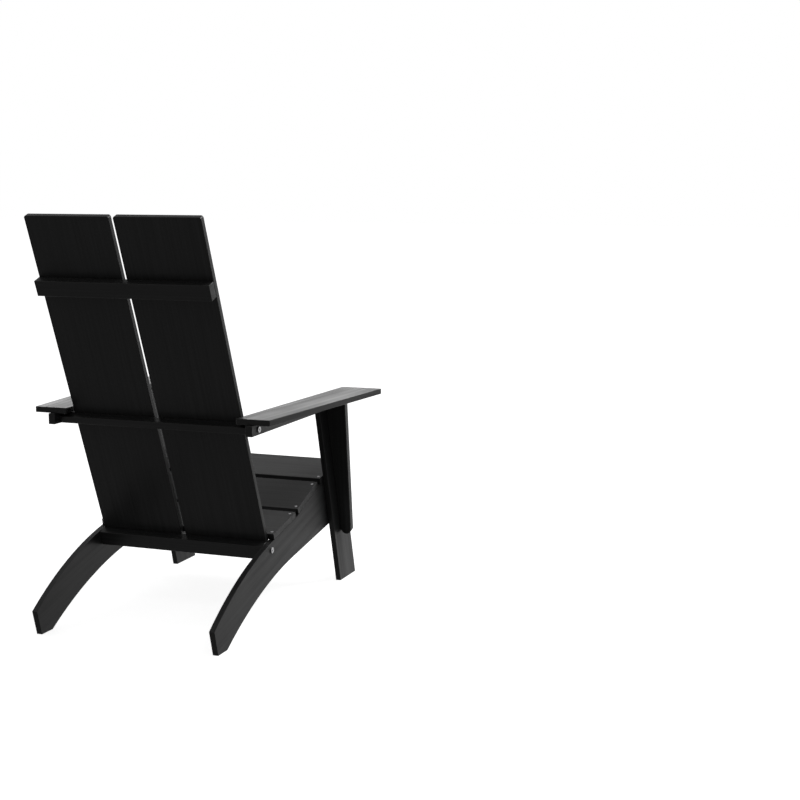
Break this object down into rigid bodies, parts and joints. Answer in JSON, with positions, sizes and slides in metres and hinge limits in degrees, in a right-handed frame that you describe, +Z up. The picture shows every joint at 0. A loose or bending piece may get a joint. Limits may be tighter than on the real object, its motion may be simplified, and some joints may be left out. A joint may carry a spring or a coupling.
{
  "type": "adirondack chair",
  "caption": "Low-slung garden lounge chair with a wide-slat reclined back, a stepped slat seat, flat tapered arms on brackets, and curved stringers that end as rear legs.",
  "frame": {"origin": "on the floor, under the middle of the whole chair's bounding box", "axes": "+Z up; the sitter faces -Y, so the back and the heels of the stringers are on the +Y side; +X is the sitter's left, and the plane X = 0 runs between the two back slats"},
  "size_m": [0.7592, 0.8446, 1.0314],
  "materials": {
    "lumber": "black plastic lumber with a fine lengthwise brushed grain",
    "steel": "bright stainless steel screws, bolts, washers and nuts"
  },
  "bodies": {
    "root": {"left_back_slat": "lumber", "right_back_slat": "lumber", "upper_back_batten": "lumber", "middle_back_batten": "lumber", "lower_back_batten": "lumber", "left_stringer": "lumber", "right_stringer": "lumber", "front_seat_slat": "lumber", "middle_seat_slat": "lumber", "rear_seat_slat": "lumber", "front_apron": "lumber", "left_front_leg": "lumber", "right_front_leg": "lumber", "left_arm_bracket": "lumber", "right_arm_bracket": "lumber", "left_arm_rail": "lumber", "right_arm_rail": "lumber", "left_arm": "lumber", "right_arm": "lumber", "back_screws": "steel", "seat_screws": "steel", "apron_screws": "steel", "bracket_screws": "steel", "rail_screws": "steel", "arm_screws": "steel", "lower_batten_bolts": "steel", "middle_batten_bolts": "steel", "barrel_nuts": "steel", "leg_bolts": "steel", "leg_washers": "steel", "leg_nuts": "steel"}
  },
  "joints": []
}
